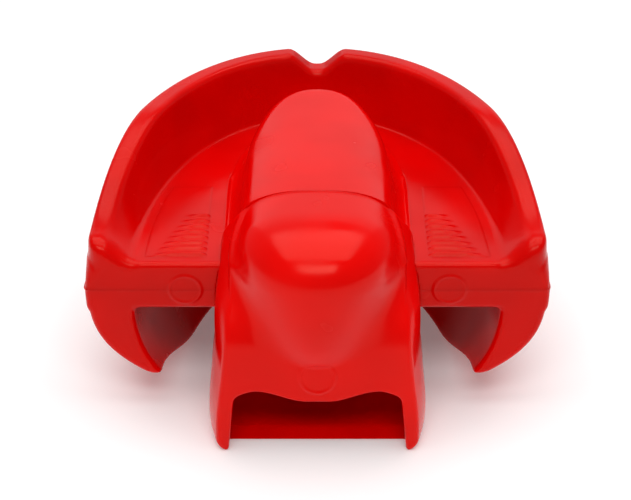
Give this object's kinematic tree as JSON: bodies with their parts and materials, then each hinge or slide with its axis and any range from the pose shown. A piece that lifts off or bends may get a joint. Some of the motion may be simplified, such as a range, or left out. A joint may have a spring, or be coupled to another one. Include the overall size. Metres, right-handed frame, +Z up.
{
  "type": "double mouthguard",
  "caption": "Boxing mouthguard for both jaws: upper and lower trays, ribbed bite pads and a central breathing duct with a hooded rear outlet.",
  "frame": {"origin": "middle of the bounding box in plan, on the plane that the guard stands on", "axes": "+X the guard's side to side, +Y towards the front of the mouth, +Z up from the lower jaw to the upper"},
  "size_m": [0.064, 0.0614, 0.0344],
  "materials": {
    "tray": "glossy moulded elastomer",
    "bite_pad": "glossy moulded elastomer with fine ribs",
    "duct": "glossy moulded elastomer"
  },
  "bodies": {
    "root": {"upper_tray": "tray", "lower_tray": "tray", "upper_bite_pad_left": "bite_pad", "upper_bite_pad_right": "bite_pad", "lower_bite_pad_left": "bite_pad", "lower_bite_pad_right": "bite_pad", "air_duct_dome": "duct", "air_duct_hood": "duct"}
  },
  "joints": []
}
